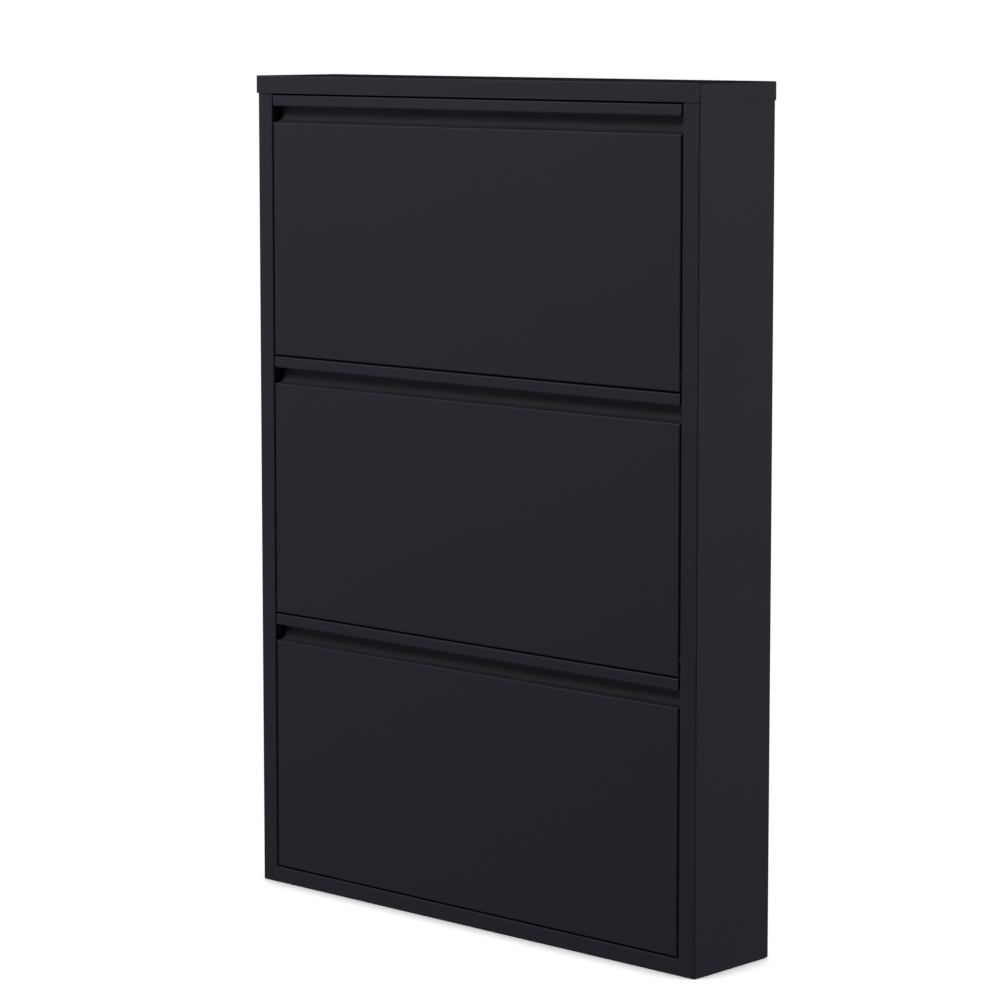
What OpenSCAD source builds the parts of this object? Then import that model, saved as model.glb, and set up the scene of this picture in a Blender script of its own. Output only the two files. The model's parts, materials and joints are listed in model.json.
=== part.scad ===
// Slim three-tier shoe cabinet in folded, powder-coated sheet steel, with tip-out flaps.
// Millimetres, +Z up, front towards -Y, origin on the floor at the middle of the footprint.
// Inside each module, Y counts backwards from the front faces; in_frame() moves it to the origin.

/* [Cabinet] */
// Overall height, floor to the top of the cap
total_h = 1030; // [1000:5:1060]
// Width across the side panels
body_w = 720; // [640:5:760]
// Depth from the front faces to the rear edges of the side panels
body_d = 135; // [132:1:150]
// Thickness of the folded sheet
sheet = 0.8; // [0.7:0.1:0.9]
// Bend radius at the middle of the sheet
bend = 1.5; // [1.2:0.1:1.8]

/* [Cap, stiles and base] */
// Height of the cap's skirt
cap_h = 22; // [20:1:26]
// How far the cap stands proud of the front and of each side
cap_lap = 1.8; // [1.6:0.1:2.4]
// Width of the stile that each side panel folds into at the front
stile_w = 25; // [24:1:30]
// Depth of the flange behind each stile's inner edge
flange_d = 11; // [10:0.5:11]
// Height of the base rail above the floor
base_h = 20; // [18:1:26]
// Height of the glides under the side panels
glide_h = 1; // [0.5:0.5:2]

/* [Flaps] */
// Clear gap round each flap
gap = 2; // [2:0.1:2.6]
// Height of the lip along the top of each flap
lip_h = 14; // [12:1:16]
// Height of the finger groove under the lip
groove_h = 20; // [19:1:23]
// Depth of the finger groove
groove_d = 16; // [16:1:18]
// Radius of the cove at the foot of the groove's back wall
cove_r = 14; // [8:1:14]
// Depth from a flap's face to the back of its shoe tray
tray_d = 114; // [112:1:115]
// Height of the shoe tray's back wall
tray_h = 112; // [100:1:114]

/* [Pivots and stops] */
// Depth of each pivot behind the flap's face
pivot_y = 6.5; // [6.2:0.1:7]
// Height of each pivot above the flap's bottom edge
pivot_z = 18; // [17:1:19]
// Radius of a hinge pin
pin_r = 2.5; // [2.2:0.1:2.6]
// Radial running clearance of a hinge pin in its bush
pin_clearance = 0.05; // [0.02:0.01:0.1]

/* [Hidden] */
$fn = 48;
eps = 0.01;
half_t = sheet / 2;
corner_r = bend + half_t;
half_w = body_w / 2;
inner_w = half_w - sheet;
half_open = half_w - stile_w;
mid_y = (body_d - cap_lap) / 2;

// Carcass
cap_z = total_h - cap_h;
rear_inset = 3;
rear_y = body_d - rear_inset;
rear_flange_w = 14;
ledge_w = 18;
ledge_y = 13;
seam = 0.4;
glide_r = 8;
glide_stem_r = 3;
glide_x = half_w - 10;
fixing_ys = [25, 115];
stud_r = 2;
stud_l = 8;
nut_r = 4.04;
nut_h = 3.2;

// Flaps
TIERS = ["bottom", "middle", "top"];
SIDES = ["left", "right"];
pitch = (cap_z - base_h - gap) / len(TIERS);
flap_h = pitch - gap;
half_flap = half_open - gap;
panel_h = flap_h - lip_h - groove_h;
lip_z = flap_h - lip_h;
return_d = 16;
bottom_return_d = 14;
lip_end_r = 4;
wing_out = half_flap - sheet;
wing_in = wing_out - sheet;
wing_shoulder_z = 128;
wing_top_y = 22;
wing_top_z = panel_h - 8;
tray_lift = sheet;
tray_hem = 8;
tray_tab = [12, 13, 30];
shoe_rail_r = 3;
shoe_rail_at = [58, 200];

// Hinges, stops and fasteners
bush_r = 4;
bush_flange_r = 5.5;
bush_flange_t = 1.2;
pin_in = wing_in - 3;
pin_head_r = 4.5;
pin_head_t = 1.4;
stop_at = [104.5, 126];
stop_r = 3;
stop_tenon_r = 2;
sleeve_r = 5;
sleeve_l = 8.4;
stop_head_t = 1.4;
rivet_r = 1.6;
rivet_head_r = 3;
rivet_head_t = 0.9;
front_rivets = [for (z = [60 : 70 : 270]) [10, z]];
tray_rivets = [[40, 8], [85, 8], [106, 85]];
screw_r = 1.75;
screw_head_r = 3.5;
screw_head_t = 1.6;
screw_l = 8;
back_screws = concat(
    [for (s = [-1, 1], i = [0 : 4]) [s * (inner_w - rear_flange_w / 2), 60 + i * (total_h - 120) / 4]],
    [for (x = [-230, 0, 230], z = [cap_z + cap_h / 2, glide_h + 11]) [x, z]]
);
wall_holes = [for (s = [-1, 1]) [s * 300, 950]];
wall_hole_r = 3.5;

// Closing rails behind the finger grooves, and their rubber bumpers
rail_h = 22;
rail_d = 12;
rail_y = groove_d + sheet + 5;
rail_drop = 28;
bumper_r = 5;
bumper_stem_r = 2;
bumper_gap = 0.3;
bumper_x = 240;
bumper_rise = 10;

COAT = "#2b2a2e";
STEEL = "#b9bcc0";
BLACK_STEEL = "#29292b";
NYLON = "#1b1b1d";
RUBBER = "#121212";

// ---- Outlines ----

function unit(v) = v / norm(v);
function left_of(v) = [-v[1], v[0]];
function turned(v, a) = [v[0] * cos(a) - v[1] * sin(a), v[0] * sin(a) + v[1] * cos(a)];

// Points and normals round the bend at b, on the way from a to c
function bend_steps(a, b, c, r) =
    let (steps = max(6, ceil(r)))
    let (u = unit(b - a), v = unit(c - b))
    let (side = u[0] * v[1] - u[1] * v[0] > 0 ? 1 : -1)
    let (angle = acos(max(-1, min(1, u * v))))
    let (start = b - u * r * tan(angle / 2))
    let (centre = start + left_of(u) * side * r)
    [for (i = [0 : steps])
        let (n = turned(left_of(u), side * angle * i / steps))
        [centre - n * side * r, n]];

// The middle line of a sheet that is folded along a path, with one radius per bend, as points and normals
function fold_line(path, radii) =
    let (last = len(path) - 1)
    concat(
        [[path[0], left_of(unit(path[1] - path[0]))]],
        [for (i = [1 : last - 1]) each bend_steps(path[i - 1], path[i], path[i + 1], radii[i - 1])],
        [[path[last], left_of(unit(path[last] - path[last - 1]))]]
    );

// Section of a sheet folded along a path, with the same radius at every bend or a list of them
module folded(path, r = bend) {
    line = fold_line(path, is_list(r) ? r : [for (i = [2 : len(path) - 1]) r]);
    outer = [for (p = line) p[0] + p[1] * half_t];
    inner = [for (i = [len(line) - 1 : -1 : 0]) line[i][0] - line[i][1] * half_t];
    polygon(concat(outer, inner));
}

// Closed outline with one radius per corner, 0 for a sharp one
module rounded(points, radii) {
    n = len(points);
    polygon([for (i = [0 : n - 1]) each radii[i] > 0
        ? [for (p = bend_steps(points[(i + n - 1) % n], points[i], points[(i + 1) % n], radii[i])) p[0]]
        : [points[i]]]);
}

// ---- Placing ----

module in_frame() {
    translate([0, -mid_y, 0]) children();
}

// Children are drawn for the +X side
module on_side(side) {
    if (side == "right") children();
    else mirror([1, 0, 0]) children();
}

// A section in Y and Z, drawn along X
module along_x(x0, x1) {
    translate([x0, 0, 0]) rotate([90, 0, 90]) linear_extrude(x1 - x0) children();
}

// A section in X and Z, drawn along Y
module along_y(y0, y1) {
    translate([0, y1, 0]) rotate([90, 0, 0]) linear_extrude(y1 - y0) children();
}

module rod_x(x0, x1, r, at) {
    translate([x0, at[0], at[1]]) rotate([0, 90, 0]) cylinder(h = x1 - x0, r = r);
}

module rod_y(y0, y1, r, at) {
    translate([at[0], y1, at[1]]) rotate([90, 0, 0]) cylinder(h = y1 - y0, r = r);
}

module block(low, high) {
    translate(low) cube(high - low);
}

function flap_z(tier) = base_h + gap + tier * pitch;
function rail_z(tier) = flap_z(tier) + flap_h - rail_drop;

module at_flap(tier) {
    in_frame() translate([0, 0, flap_z(tier)]) children();
}

// ---- Carcass ----

module side_panel(side) {
    top = total_h - sheet;
    color(COAT) in_frame() on_side(side) difference() {
        union() {
            translate([0, 0, glide_h]) linear_extrude(top - glide_h) folded([
                [half_open + half_t, flange_d],
                [half_open + half_t, half_t],
                [half_w - half_t, half_t],
                [half_w - half_t, body_d]
            ]);
            block([inner_w - rear_flange_w, rear_y - sheet, glide_h], [inner_w, rear_y, top]);
            for (z = [glide_h, top - sheet])
                block([inner_w - ledge_w, ledge_y, z], [inner_w, rear_y - sheet, z + sheet]);
        }
        for (tier = [0 : len(TIERS) - 1])
            rod_x(half_open - 1, half_open + 2, pin_r, [pivot_y, flap_z(tier) + pivot_z]);
        for (p = back_screws)
            if (p[0] > inner_w - rear_flange_w) rod_y(rear_y - 2, rear_y + 1, screw_r, p);
        for (y = fixing_ys) {
            translate([glide_x, y, glide_h - 1]) cylinder(h = 3, r = glide_stem_r);
            translate([glide_x, y, top - 2]) cylinder(h = 3, r = stud_r);
        }
    }
}

// The cap's outer shape, or with an inset its inner one
module cap_shape(inset, low, back) {
    side = half_w + cap_lap - inset;
    front = -cap_lap + inset;
    high = total_h - inset;
    r = corner_r - inset;
    intersection() {
        translate([0, 0, low]) linear_extrude(high - low)
            rounded([[-side, front], [side, front], [side, back], [-side, back]], [r, r, 0, 0]);
        along_y(front, back)
            rounded([[-side, low], [side, low], [side, high], [-side, high]], [0, 0, r, r]);
        along_x(-side, side)
            rounded([[front, low], [back, low], [back, high], [front, high]], [0, 0, 0, r]);
    }
}

module top_cap() {
    flange_x = inner_w - rear_flange_w - seam;
    color(COAT) in_frame() difference() {
        union() {
            difference() {
                cap_shape(0, cap_z, body_d);
                cap_shape(sheet, cap_z - 1, body_d + 1);
            }
            block([-flange_x, rear_y - sheet, cap_z], [flange_x, rear_y, total_h - half_t]);
            for (x = [-glide_x, glide_x], y = fixing_ys)
                translate([x, y, total_h - sheet - stud_l]) cylinder(h = stud_l + half_t, r = stud_r);
        }
        for (p = back_screws)
            if (p[1] > cap_z && abs(p[0]) < flange_x) rod_y(rear_y - 2, rear_y + 1, screw_r, p);
    }
}

module cap_nuts() {
    under = total_h - 2 * sheet;
    color(STEEL) in_frame() for (x = [-glide_x, glide_x], y = fixing_ys)
        translate([x, y, under - nut_h]) difference() {
            cylinder(h = nut_h, r = nut_r, $fn = 6);
            translate([0, 0, -1]) cylinder(h = nut_h + 2, r = stud_r);
        }
}

module base_panel() {
    flange_x = inner_w - rear_flange_w - seam;
    floor_z = base_h - half_t;
    end_x = inner_w - half_t;
    low = glide_h + 4;
    color(COAT) in_frame() difference() {
        union() {
            along_x(-half_open, half_open) folded([
                [10, glide_h + half_t],
                [half_t, glide_h + half_t],
                [half_t, floor_z],
                [ledge_y + 4, floor_z]
            ]);
            along_y(ledge_y, rear_y - sheet)
                folded([[end_x, low], [end_x, floor_z], [-end_x, floor_z], [-end_x, low]]);
            block([-flange_x, rear_y - sheet - eps, glide_h + 3], [flange_x, rear_y, base_h]);
        }
        for (p = back_screws)
            if (p[1] < base_h && abs(p[0]) < flange_x) rod_y(rear_y - 2, rear_y + 1, screw_r, p);
    }
}

module back_panel() {
    half = inner_w - 1.2;
    color(COAT) in_frame() difference() {
        block([-half, rear_y, glide_h + 3], [half, rear_y + sheet, total_h - sheet - 3]);
        for (p = back_screws) rod_y(rear_y - 1, rear_y + 2, screw_r, p);
        for (p = wall_holes) rod_y(rear_y - 1, rear_y + 2, wall_hole_r, p);
    }
}

// Pan-head screw with a cross recess, driven in from the back
module back_screw(p) {
    seat = rear_y + sheet;
    slot_w = 0.9;
    slot_l = 3.8;
    difference() {
        union() {
            rod_y(seat - screw_l, seat, screw_r, p);
            rod_y(seat, seat + screw_head_t, screw_head_r, p);
        }
        for (a = [0, 90])
            translate([p[0], seat + screw_head_t, p[1]]) rotate([0, a, 0])
                cube([slot_l, 2, slot_w], center = true);
    }
}

module back_panel_screws() {
    color(STEEL) in_frame() for (p = back_screws) back_screw(p);
}

module floor_glides() {
    color(NYLON) in_frame() for (x = [-glide_x, glide_x], y = fixing_ys)
        translate([x, y, 0]) union() {
            cylinder(h = glide_h, r = glide_r);
            cylinder(h = glide_h + sheet, r = glide_stem_r);
            translate([0, 0, glide_h + sheet]) cylinder(h = 1.5, r = glide_stem_r + 0.8);
        }
}

module cross_rail(tier) {
    low = rail_z(tier) + half_t;
    high = low + rail_h - sheet;
    back = rail_y + rail_d;
    end_x = inner_w - sheet;
    color(COAT) in_frame() difference() {
        union() {
            along_x(-end_x, end_x)
                folded([[back, low], [rail_y + half_t, low], [rail_y + half_t, high], [back, high]]);
            for (x = [-inner_w, end_x])
                block([x, rail_y, low - half_t], [x + sheet, back, high + half_t]);
        }
        for (x = [-bumper_x, bumper_x])
            rod_y(rail_y - 1, rail_y + 2, bumper_stem_r, [x, low - half_t + bumper_rise]);
    }
}

module closing_bumpers() {
    color(RUBBER) in_frame() for (tier = [0 : len(TIERS) - 1], x = [-bumper_x, bumper_x]) {
        at = [x, rail_z(tier) + bumper_rise];
        union() {
            rod_y(groove_d + sheet + bumper_gap, rail_y, bumper_r, at);
            rod_y(rail_y, rail_y + sheet, bumper_stem_r, at);
            rod_y(rail_y + sheet, rail_y + sheet + 2, bumper_stem_r + 0.8, at);
        }
    }
}

module hinge_pin(tier, side) {
    at = [pivot_y, pivot_z];
    color(BLACK_STEEL) at_flap(tier) on_side(side) union() {
        rod_x(pin_in, half_open + sheet, pin_r, at);
        rod_x(half_open + sheet, half_open + sheet + pin_head_t, pin_head_r, at);
    }
}

// ---- Flaps ----

// Front face, ledge, cove, groove and lip, folded from one sheet
module flap_face() {
    path = [
        [bottom_return_d, half_t],
        [half_t, half_t],
        [half_t, panel_h - half_t],
        [groove_d + half_t, panel_h - half_t],
        [groove_d + half_t, lip_z + half_t],
        [half_t, lip_z + half_t],
        [half_t, flap_h - half_t],
        [groove_d, flap_h - half_t]
    ];
    along_x(-half_flap, half_flap) folded(path, [bend, bend, cove_r, bend, bend, bend]);
}

// Cuts one end of the lip to a round lower corner
module lip_end_cutter() {
    r = lip_end_r;
    x = half_flap;
    along_y(-1, groove_d) difference() {
        polygon([[x - r, lip_z - eps], [x + 1, lip_z - eps], [x + 1, lip_z + r], [x - r, lip_z + r]]);
        translate([x - r, lip_z + r]) circle(r = r);
    }
}

module flap_front(tier) {
    low = corner_r;
    high = panel_h - corner_r;
    fold_in = half_flap - 3 * corner_r;
    color(COAT) at_flap(tier) difference() {
        union() {
            difference() {
                flap_face();
                for (side = SIDES) on_side(side) {
                    block([half_flap - 2 * corner_r, -1, low], [half_flap + 1, corner_r, high]);
                    lip_end_cutter();
                }
            }
            for (side = SIDES) on_side(side)
                translate([0, 0, low]) linear_extrude(high - low) folded([
                    [half_flap - half_t, return_d],
                    [half_flap - half_t, half_t],
                    [fold_in, half_t]
                ]);
        }
        for (side = SIDES) on_side(side) {
            rod_x(wing_in, half_flap + 1, bush_r, [pivot_y, pivot_z]);
            for (p = front_rivets) rod_x(wing_in, half_flap + 1, rivet_r, p);
        }
    }
}

module wing(tier, side) {
    outline = [
        [corner_r + 0.3, sheet],
        [tray_d, sheet],
        [tray_d, wing_shoulder_z],
        [wing_top_y, wing_top_z],
        [corner_r + 0.3, wing_top_z]
    ];
    color(COAT) at_flap(tier) on_side(side) difference() {
        along_x(wing_in, wing_out) rounded(outline, [1, 3, 12, 8, 4]);
        rod_x(wing_in - 1, wing_out + 1, bush_r, [pivot_y, pivot_z]);
        rod_x(wing_in - 1, wing_out + 1, stop_tenon_r, stop_at);
        rod_x(wing_in - 1, wing_out + 1, stop_tenon_r, shoe_rail_at);
        for (p = concat(front_rivets, tray_rivets)) rod_x(wing_in - 1, wing_out + 1, rivet_r, p);
    }
}

// Floor and back wall of the shoe space, hemmed along the top, with tabs to the wings
module shoe_tray(tier) {
    floor_z = tray_lift + half_t;
    back = tray_d - half_t;
    color(COAT) at_flap(tier) difference() {
        union() {
            along_x(-wing_in, wing_in) folded([
                [3, floor_z],
                [back, floor_z],
                [back, tray_h - half_t],
                [back - tray_hem, tray_h - half_t],
                [back - tray_hem, tray_h - tray_hem]
            ]);
            for (side = SIDES) on_side(side) {
                block([wing_in - sheet, 22, tray_lift], [wing_in, tray_d - 12, tray_lift + tray_tab[1]]);
                block(
                    [wing_in - sheet, tray_d - tray_tab[0], 85 - tray_tab[2] / 2],
                    [wing_in, tray_d - half_t, 85 + tray_tab[2] / 2]
                );
            }
        }
        for (side = SIDES) on_side(side)
            for (p = tray_rivets) rod_x(wing_in - sheet - 1, wing_in + 1, rivet_r, p);
    }
}

// Round bar that keeps the shoes from tipping back, peened over outside the wings
module shoe_rail(tier) {
    color(STEEL) at_flap(tier) union() {
        rod_x(-wing_in, wing_in, shoe_rail_r, shoe_rail_at);
        rod_x(-wing_out, wing_out, stop_tenon_r, shoe_rail_at);
        for (side = SIDES) on_side(side) rod_x(wing_out, wing_out + sheet, shoe_rail_r, shoe_rail_at);
    }
}

module rivet(x_in, x_out, at) {
    rod_x(x_in, x_out, rivet_r, at);
    rod_x(x_in - rivet_head_t, x_in, rivet_head_r, at);
    rod_x(x_out, x_out + rivet_head_t, rivet_head_r, at);
}

module flap_rivets(tier) {
    color(STEEL) at_flap(tier) for (side = SIDES) on_side(side) {
        for (p = front_rivets) rivet(wing_in, half_flap, p);
        for (p = tray_rivets) rivet(wing_in - sheet, wing_out, p);
    }
}

module hinge_bush(tier, side) {
    at = [pivot_y, pivot_z];
    inner_end = wing_in - bush_flange_t;
    outer_end = half_flap + bush_flange_t;
    color(NYLON) at_flap(tier) on_side(side) difference() {
        union() {
            rod_x(inner_end, outer_end, bush_r, at);
            rod_x(inner_end, wing_in, bush_r + 0.6, at);
            rod_x(half_flap, outer_end, bush_flange_r, at);
        }
        rod_x(inner_end - 1, outer_end + 1, pin_r + pin_clearance, at);
    }
}

module stop_stud(tier, side) {
    end = wing_out + sleeve_l + 0.4;
    color(BLACK_STEEL) at_flap(tier) on_side(side) union() {
        rod_x(wing_in - stop_head_t, wing_in, stop_r, stop_at);
        rod_x(wing_in, wing_out, stop_tenon_r, stop_at);
        rod_x(wing_out, end, stop_r, stop_at);
        rod_x(end, end + stop_head_t, sleeve_r - 0.5, stop_at);
    }
}

module stop_sleeve(tier, side) {
    start = wing_out + 0.2;
    color(RUBBER) at_flap(tier) on_side(side) difference() {
        rod_x(start, start + sleeve_l, sleeve_r, stop_at);
        rod_x(start - 1, start + sleeve_l + 1, stop_r, stop_at);
    }
}

// ---- Nodes ----

top_cap();
base_panel();
back_panel();
closing_bumpers();
floor_glides();
back_panel_screws();
cap_nuts();

for (side = SIDES)
    side_panel(side);

for (tier = [0 : len(TIERS) - 1]) {
    t = TIERS[tier];
    cross_rail(tier);
    flap_front(tier);
    shoe_tray(tier);
    shoe_rail(tier);
    flap_rivets(tier);
    for (side = SIDES) {
        hinge_pin(tier, side);
        wing(tier, side);
        hinge_bush(tier, side);
        stop_stud(tier, side);
        stop_sleeve(tier, side);
    }
}
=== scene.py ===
"""Slim steel shoe cabinet: finishes, edge radii, rivets, welds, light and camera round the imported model."""
import json
import math

import bmesh
import bpy
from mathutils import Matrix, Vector


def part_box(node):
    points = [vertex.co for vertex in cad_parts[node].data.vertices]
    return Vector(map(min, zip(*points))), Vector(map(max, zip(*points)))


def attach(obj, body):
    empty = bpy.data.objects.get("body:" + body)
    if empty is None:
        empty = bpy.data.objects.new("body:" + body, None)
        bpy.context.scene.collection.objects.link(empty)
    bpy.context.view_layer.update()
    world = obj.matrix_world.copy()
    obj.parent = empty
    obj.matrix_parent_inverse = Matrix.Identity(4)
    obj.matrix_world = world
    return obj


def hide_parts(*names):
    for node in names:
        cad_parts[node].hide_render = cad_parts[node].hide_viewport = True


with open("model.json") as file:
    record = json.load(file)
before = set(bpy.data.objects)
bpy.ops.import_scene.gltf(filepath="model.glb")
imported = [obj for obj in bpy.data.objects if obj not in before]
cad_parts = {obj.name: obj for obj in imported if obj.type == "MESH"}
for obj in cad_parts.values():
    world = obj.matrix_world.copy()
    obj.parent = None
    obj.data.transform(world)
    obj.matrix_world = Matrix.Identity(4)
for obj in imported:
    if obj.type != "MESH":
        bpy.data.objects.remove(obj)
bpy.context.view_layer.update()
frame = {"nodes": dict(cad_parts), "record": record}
nodes = frame["nodes"]

# Camera: the photograph's viewpoint, in metres in the cabinet's own frame. It sees past the floor's corners.
CAMERA_AT = (2.9416, -3.1821, 1.1076)
CAMERA_YAW = math.radians(42.822)
CAMERA_DOWN = math.radians(6.466)
CAMERA_LENS = 129.25
CAMERA_SHIFT = -0.08
CAMERA_REACH = 100.0

# Edges: sheet metal is deburred before it is coated, so every sharp edge gets a small radius. Larger faces
# count for more in the shading: a weight of 50 would count all alike.
MERGE_DISTANCE = 1e-6
SHEET_EDGE = 0.00015
TURNED_EDGE = 0.0003
EDGE_SEGMENTS = 2
EDGE_ANGLE = math.radians(35)
LARGE_FACE_WEIGHT = 80

# Paler edges, partly worn and partly a painted highlight on the bends: the samples that find them,
# and how far the rounded surface turns from the face where they are fully paled, as a cosine.
WEAR_AND_HIGHLIGHT_SAMPLES = 4
WEAR_AND_HIGHLIGHT_COSINE = 0.75

# Most of a noise's values lie in this range.
NOISE_RANGE = (0.3, 0.7)

# Rivets: the most that one's points lie from its lowest corner, its sides, and its ends as (depth below the
# tip, radius).
RIVET_REACH = 0.012
RIVET_SIDES = 28
BLIND_END = ((0.0, 0.0), (0.0, 0.0009), (0.00012, 0.0018), (0.0004, 0.0024), (0.0009, 0.0026),
             (0.0009, 0.0016))
FACTORY_HEAD = ((0.0009, 0.0016), (0.0009, 0.0030), (0.0007, 0.0030), (0.0004, 0.0027), (0.00012, 0.0020),
                (0.0, 0.0013), (0.0, 0.00095), (0.00015, 0.0008), (0.0008, 0.0008), (0.0008, 0.0))

# Welds, ground flush: the section as (distance into the stile from its edge, depth behind the rail's face),
# and its way up as (height, how much deeper it lies there).
WELD_SECTION = ((-0.0004, 0.0006), (-0.0004, 0.00008), (-0.0001, -0.00002), (0.0014, -0.00002),
                (0.0018, 0.00008), (0.0014, 0.0006))
WELD_HEIGHTS = ((0.0016, 0.0003), (0.0024, 0.0), (0.0186, 0.0), (0.0194, 0.0003))

# Floor: half its width, and its brightness in the contact shadow and in the open. The shadow fades out
# between two shares of free space above the floor, counted within CONTACT_REACH.
FLOOR_HALF = 30.0
FLOOR_SHADES = (0.0, 1.02)
CONTACT_SAMPLES = 6
CONTACT_REACH = 0.06
CONTACT_SPACE = (0.30, 0.66)

# Glow: the faint light that the floor throws back at the cabinet, from an unseen plane just under it.
GLOW_HEIGHT = -0.001
GLOW_STRENGTH = 0.30
GLOW_COLOUR = (0.97, 0.92, 1.14, 1)

# Colours of plain light, and the points that the softboxes are turned to.
WHITE = (1, 1, 1, 1)
BLACK = (0, 0, 0, 1)
MIDDLE = (0, 0, 0.5)
UPPER_PART = (0, 0, 0.6)
RIGHT_SIDE = (0.36, 0, 0.5)


# ---------------------------------------------------------------- shader helpers
class Graph:
    """A material's node tree, with short ways to add and join nodes."""

    def __init__(self, name):
        self.material = bpy.data.materials.new(name)
        self.material.use_nodes = True
        self.tree = self.material.node_tree
        self.shader = self.tree.nodes["Principled BSDF"]

    def add(self, kind, **values):
        node = self.tree.nodes.new(kind)
        for name, value in values.items():
            setattr(node, name, value)
        return node

    def join(self, source, target):
        self.tree.links.new(source, target)

    def noise(self, scale, detail=2.0, stretch=None):
        """Noise on the object, with `scale` features to the metre, or stretched along the axes."""
        node = self.add("ShaderNodeTexNoise")
        node.inputs["Scale"].default_value = scale
        node.inputs["Detail"].default_value = detail
        where = self.add("ShaderNodeTexCoord").outputs["Object"]
        if stretch:
            mapping = self.add("ShaderNodeMapping")
            mapping.inputs["Scale"].default_value = stretch
            self.join(where, mapping.inputs["Vector"])
            where = mapping.outputs["Vector"]
        self.join(where, node.inputs["Vector"])
        return node.outputs["Fac"]

    def ramp(self, value, span, to_span):
        """Maps a value from one (start, end) span onto another."""
        node = self.add("ShaderNodeMapRange")
        self.join(value, node.inputs["Value"])
        for side, (start, end) in (("From", span), ("To", to_span)):
            node.inputs[f"{side} Min"].default_value = start
            node.inputs[f"{side} Max"].default_value = end
        return node.outputs["Result"]

    def maths(self, operation, a, b):
        node = self.add("ShaderNodeMath", operation=operation)
        self.join(a, node.inputs[0])
        self.join(b, node.inputs[1])
        return node.outputs["Value"]

    def blend(self, factor, a, b):
        """Mixes two colours, or two colour outputs, by a factor."""
        node = self.add("ShaderNodeMix", data_type="RGBA")
        self.join(factor, node.inputs["Factor"])
        for name, value in (("A", a), ("B", b)):
            socket = [s for s in node.inputs if s.name == name and s.type == "RGBA"][0]
            if isinstance(value, tuple):
                socket.default_value = (*value, 1.0)
            else:
                self.join(value, socket)
        return [s for s in node.outputs if s.type == "RGBA"][0]

    def colour(self, pattern, dark, light):
        """Varies the colour by a pattern."""
        self.join(self.blend(pattern, dark, light), self.shader.inputs["Base Color"])

    def roughness(self, pattern, smooth, rough):
        """Varies the roughness by a pattern."""
        self.join(self.ramp(pattern, NOISE_RANGE, (smooth, rough)), self.shader.inputs["Roughness"])

    def edge(self, radius):
        """About 0 on open surfaces, rising to 1 on convex and concave edges."""
        bevel = self.add("ShaderNodeBevel", samples=WEAR_AND_HIGHLIGHT_SAMPLES)
        bevel.inputs["Radius"].default_value = radius
        shape = self.add("ShaderNodeNewGeometry")
        dot = self.add("ShaderNodeVectorMath", operation="DOT_PRODUCT")
        self.join(bevel.outputs["Normal"], dot.inputs[0])
        self.join(shape.outputs["Normal"], dot.inputs[1])
        return self.ramp(dot.outputs["Value"], (1.0, WEAR_AND_HIGHLIGHT_COSINE), (0.0, 1.0))

    def bump(self, layers):
        """Chains height layers of (value, depth in metres) into one normal."""
        normal = None
        for value, depth in layers:
            node = self.add("ShaderNodeBump")
            node.inputs["Strength"].default_value = 1.0
            node.inputs["Distance"].default_value = depth
            self.join(value, node.inputs["Height"])
            if normal:
                self.join(normal, node.inputs["Normal"])
            normal = node.outputs["Normal"]
        self.join(normal, self.shader.inputs["Normal"])

    def set(self, **values):
        for name, value in values.items():
            self.shader.inputs[name.replace("_", " ")].default_value = value


# ---------------------------------------------------------------- finishes
def powder_coat():
    """Matt anthracite powder coat on flat steel sheet; its edges paler from wear and a painted highlight."""
    dark, light = (0.0174, 0.0159, 0.0233), (0.0206, 0.0189, 0.0272)
    # The second colour and the edge mask below pale the edges: partly wear, partly a painted highlight on the
    # bends.
    fleck_colour, wear_and_highlight_colour = (0.028, 0.026, 0.037), (0.046, 0.044, 0.056)
    fleck_span, fleck_share = (0.35, 0.75), (0.0, 0.35)
    wear_and_highlight_width, wear_and_highlight_span, wear_and_highlight_share = 0.0012, (0.4, 0.7), (0.5, 1.0)
    smooth, rough, speckle_rough = 0.57, 0.63, 0.03
    sheet_wave, orange_peel, grain = 0.0012, 0.00003, 0.00002
    g = Graph("powder_coat")
    cloud = g.noise(scale=5.0, detail=3.0)
    speckle = g.noise(scale=1400.0, detail=1.0)
    colour = g.blend(cloud, dark, light)
    colour = g.blend(g.ramp(speckle, fleck_span, fleck_share), colour, fleck_colour)
    # Edges blend toward the paler colour: part wear, part painted highlight standing in for light on the
    # bends.
    wear_and_highlight = g.maths("MULTIPLY", g.edge(wear_and_highlight_width), g.ramp(g.noise(scale=60.0), wear_and_highlight_span, wear_and_highlight_share))
    colour = g.blend(wear_and_highlight, colour, wear_and_highlight_colour)
    g.join(colour, g.shader.inputs["Base Color"])
    broad = g.ramp(cloud, NOISE_RANGE, (smooth, rough))
    fine = g.ramp(speckle, NOISE_RANGE, (-speckle_rough, speckle_rough))
    g.join(g.maths("ADD", broad, fine), g.shader.inputs["Roughness"])
    waves, peel = g.noise(scale=7.0, detail=1.0), g.noise(scale=260.0)
    g.bump([(waves, sheet_wave), (peel, orange_peel), (speckle, grain)])
    g.set(Specular_IOR_Level=0.28)
    return g.material


def zinc_steel():
    """Satin zinc-plated steel, drawn or turned, with its grain along X."""
    grain_depth = 0.00001
    g = Graph("zinc_steel")
    grain = g.noise(scale=900.0, detail=3.0, stretch=(0.06, 1.0, 1.0))
    g.colour(g.noise(scale=40.0, detail=3.0), dark=(0.28, 0.285, 0.295), light=(0.37, 0.375, 0.38))
    g.roughness(grain, smooth=0.34, rough=0.50)
    g.bump([(grain, grain_depth)])
    g.set(Metallic=1.0)
    return g.material


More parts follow.
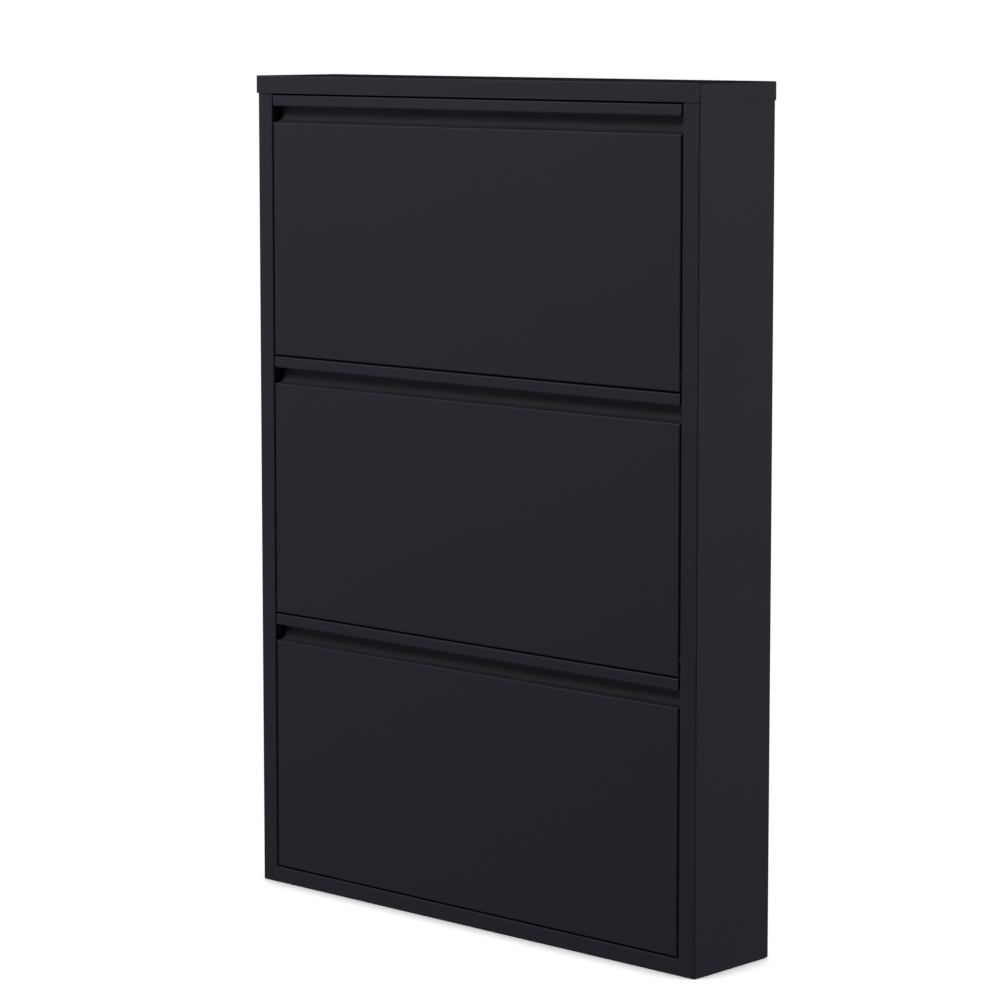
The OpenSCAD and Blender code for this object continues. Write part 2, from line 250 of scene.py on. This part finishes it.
def black_steel():
    """Black-oxide steel, lightly oiled."""
    grain_depth = 0.00001
    g = Graph("black_steel")
    grain = g.noise(scale=800.0, detail=3.0)
    g.colour(grain, dark=(0.020, 0.020, 0.022), light=(0.036, 0.035, 0.036))
    g.roughness(grain, smooth=0.34, rough=0.50)
    g.bump([(grain, grain_depth)])
    g.set(Metallic=0.8)
    return g.material


def nylon():
    """Satin black moulded nylon."""
    mould_depth = 0.00002
    g = Graph("nylon")
    mould = g.noise(scale=700.0)
    g.colour(mould, dark=(0.007, 0.007, 0.0075), light=(0.012, 0.012, 0.0125))
    g.roughness(mould, smooth=0.44, rough=0.54)
    g.bump([(mould, mould_depth)])
    g.set(Specular_IOR_Level=0.3)
    return g.material


def rubber():
    """Matt black rubber with a faint bloom."""
    skin_depth = 0.00003
    g = Graph("rubber")
    bloom = g.noise(scale=120.0, detail=4.0)
    g.colour(bloom, dark=(0.010, 0.010, 0.010), light=(0.020, 0.0195, 0.019))
    g.roughness(bloom, smooth=0.68, rough=0.82)
    g.bump([(g.noise(scale=1100.0), skin_depth)])
    return g.material


materials = {
    "powder_coat": powder_coat(),
    "zinc_steel": zinc_steel(),
    "black_steel": black_steel(),
    "nylon": nylon(),
    "rubber": rubber(),
}


# ---------------------------------------------------------------- CAD nodes
def soften(obj, width):
    """Gives a CAD node small edge radii and smooth bends, without touching its mesh."""
    merge = obj.modifiers.new("merge", "WELD")
    merge.merge_threshold = MERGE_DISTANCE
    bevel = obj.modifiers.new("bevel", "BEVEL")
    bevel.limit_method = "ANGLE"
    bevel.angle_limit = EDGE_ANGLE
    bevel.width = width
    bevel.segments = EDGE_SEGMENTS
    normals = obj.modifiers.new("normals", "WEIGHTED_NORMAL")
    normals.mode = "FACE_AREA"
    normals.weight = LARGE_FACE_WEIGHT


def dress(obj, slot):
    """Puts a slot's material on a node or piece."""
    obj.data.materials.clear()
    obj.data.materials.append(materials[slot])


for part in frame["record"]["subparts"]:
    node = nodes[part["node"]]
    dress(node, part["material_slot"])
    soften(node, SHEET_EDGE if part["material_slot"] == "powder_coat" else TURNED_EDGE)


# ---------------------------------------------------------------- detailed pieces
def add_mesh(name, points, faces):
    mesh = bpy.data.meshes.new(name)
    mesh.from_pydata(points, [], faces)
    obj = bpy.data.objects.new(name, mesh)
    bpy.context.scene.collection.objects.link(obj)
    return obj


def finish_piece(obj, body, slot):
    """Turns a piece's faces outwards, smooths it between sharp edges, and gives it its body and finish."""
    work = bmesh.new()
    work.from_mesh(obj.data)
    bmesh.ops.recalc_face_normals(work, faces=work.faces)
    work.to_mesh(obj.data)
    work.free()
    obj.data.shade_smooth()
    obj.data.set_sharp_from_angle(angle=EDGE_ANGLE)
    dress(obj, slot)
    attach(obj, body)


def solids_in(node):
    """The lowest and highest corner of each rivet in a CAD node."""
    boxes = []
    for vertex in node.data.vertices:
        point = node.matrix_world @ vertex.co
        box = next((known for known in boxes if (known[0] - point).length < RIVET_REACH), None)
        if box is None:
            boxes.append([point.copy(), point.copy()])
            continue
        for axis in range(3):
            box[0][axis] = min(box[0][axis], point[axis])
            box[1][axis] = max(box[1][axis], point[axis])
    return boxes


def turn(points, faces, profile, centre):
    """Adds a solid turned about the line along X through centre (y, z), whose profile of (x, radius) starts
    and ends on that line."""
    start = len(points)
    rings = profile[1:-1]
    for x, radius in rings:
        for i in range(RIVET_SIDES):
            angle = 2 * math.pi * i / RIVET_SIDES
            points.append((x, centre[0] + radius * math.cos(angle), centre[1] + radius * math.sin(angle)))
    tips = (len(points), len(points) + 1)
    points.extend([(profile[0][0], *centre), (profile[-1][0], *centre)])
    last = start + (len(rings) - 1) * RIVET_SIDES
    for i in range(RIVET_SIDES):
        j = (i + 1) % RIVET_SIDES
        faces.append((tips[0], start + i, start + j))
        faces.append((tips[1], last + j, last + i))
        for a in range(start, last, RIVET_SIDES):
            b = a + RIVET_SIDES
            faces.append((a + i, b + i, b + j, a + j))


def add_rivets(tier):
    """Blind rivets with domed heads and mandrel holes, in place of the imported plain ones."""
    node = nodes[f"flap_rivets_{tier}"]
    points, faces = [], []
    for low, high in solids_in(node):
        side = 1 if low.x > 0 else -1
        inner, outer = (low.x, high.x) if side > 0 else (high.x, low.x)
        profile = [(inner + side * depth, radius) for depth, radius in BLIND_END]
        profile += [(outer - side * depth, radius) for depth, radius in FACTORY_HEAD]
        turn(points, faces, profile, ((low.y + high.y) / 2, (low.z + high.z) / 2))
    rivets = add_mesh(f"blind_rivets_{tier}", points, faces)
    finish_piece(rivets, f"flap_{tier}", "zinc_steel")
    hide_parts(f"flap_rivets_{tier}")


def add_weld(hand, side):
    """Fills the fold's round corner where the base rail meets a stile, as a weld ground flush."""
    low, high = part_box(f"side_panel_{hand}")
    edge = low[0] if side > 0 else high[0]
    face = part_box("base_panel")[0][1]
    points = []
    for height, inset in WELD_HEIGHTS:
        points += [(edge + side * x, face + y + inset, height) for x, y in WELD_SECTION]
    size = len(WELD_SECTION)
    faces = [tuple(range(size)), tuple(range(len(points) - size, len(points)))]
    for level in range(len(WELD_HEIGHTS) - 1):
        for i in range(size):
            a = level * size + i
            b = level * size + (i + 1) % size
            faces.append((a, b, b + size, a + size))
    weld = add_mesh(f"base_weld_{hand}", points, faces)
    finish_piece(weld, "carcass", "powder_coat")


for tier in ("bottom", "middle", "top"):
    add_rivets(tier)
add_weld("right", 1)
add_weld("left", -1)


# ---------------------------------------------------------------- floor, light and camera
def add_plane(name, height, strength, colour):
    """A large level plane that gives out an even light."""
    points = [(x * FLOOR_HALF, y * FLOOR_HALF, height) for x, y in ((-1, -1), (1, -1), (1, 1), (-1, 1))]
    plane = add_mesh(name, points, [(0, 1, 2, 3)])
    g = Graph(name)
    g.set(Base_Color=BLACK, Roughness=1.0, Specular_IOR_Level=0.0)
    g.set(Emission_Color=colour, Emission_Strength=strength)
    plane.data.materials.append(g.material)
    return plane, g


def add_floor():
    """A pale floor with a soft contact shadow, and below it the glow that it throws on the cabinet."""
    floor, g = add_plane("floor", height=0.0, strength=1.0, colour=WHITE)
    near = g.add("ShaderNodeAmbientOcclusion", samples=CONTACT_SAMPLES)
    near.inputs["Distance"].default_value = CONTACT_REACH
    g.join(g.ramp(near.outputs["AO"], CONTACT_SPACE, FLOOR_SHADES), g.shader.inputs["Emission Strength"])
    floor.visible_glossy = floor.visible_diffuse = floor.visible_shadow = False
    glow, _ = add_plane("floor_glow", GLOW_HEIGHT, GLOW_STRENGTH, GLOW_COLOUR)
    glow.visible_camera = False


def add_light(name, at, aim, size, power):
    """A white rectangular softbox at a point, turned towards another."""
    data = bpy.data.lights.new(name, "AREA")
    data.shape = "RECTANGLE"
    data.size, data.size_y = size
    data.energy = power
    light = bpy.data.objects.new(name, data)
    light.location = at
    light.rotation_euler = (Vector(aim) - Vector(at)).to_track_quat("-Z", "Y").to_euler()
    light.visible_camera = False
    bpy.context.scene.collection.objects.link(light)


def set_world():
    """White where the camera sees it, and no light on the cabinet."""
    world = bpy.data.worlds.new("studio")
    bpy.context.scene.world = world
    world.use_nodes = True
    tree = world.node_tree
    background = tree.nodes["Background"]
    background.inputs["Color"].default_value = WHITE
    path = tree.nodes.new("ShaderNodeLightPath")
    tree.links.new(path.outputs["Is Camera Ray"], background.inputs["Strength"])


def add_camera():
    data = bpy.data.cameras.new("camera")
    data.lens = CAMERA_LENS
    data.shift_y = CAMERA_SHIFT
    data.clip_end = CAMERA_REACH
    camera = bpy.data.objects.new("camera", data)
    camera.location = CAMERA_AT
    camera.rotation_euler = (math.pi / 2 - CAMERA_DOWN, 0, CAMERA_YAW)
    bpy.context.scene.collection.objects.link(camera)
    bpy.context.scene.camera = camera


add_floor()
set_world()
add_light("key_high", at=(-1.4, -2.1, 3.36), aim=UPPER_PART, size=(1.4, 1.4), power=38)
add_light("key", at=(-1.62, -2.4, 2.82), aim=UPPER_PART, size=(1.2, 1.9), power=41.5)
add_light("fill", at=(-3.4, -3.4, 0.8), aim=MIDDLE, size=(1.8, 1.2), power=10)
add_light("side", at=(3.5, 2.0, 1.1), aim=RIGHT_SIDE, size=(1.8, 1.6), power=30.5)
add_light("side_high", at=(3.0, 1.6, 2.6), aim=RIGHT_SIDE, size=(1.2, 1.2), power=21.5)
add_light("back", at=(-1.6, 3.6, 0.35), aim=MIDDLE, size=(2.0, 0.9), power=30)
add_camera()
scene = bpy.context.scene
scene.view_settings.view_transform = "Standard"
scene.view_settings.look = "None"
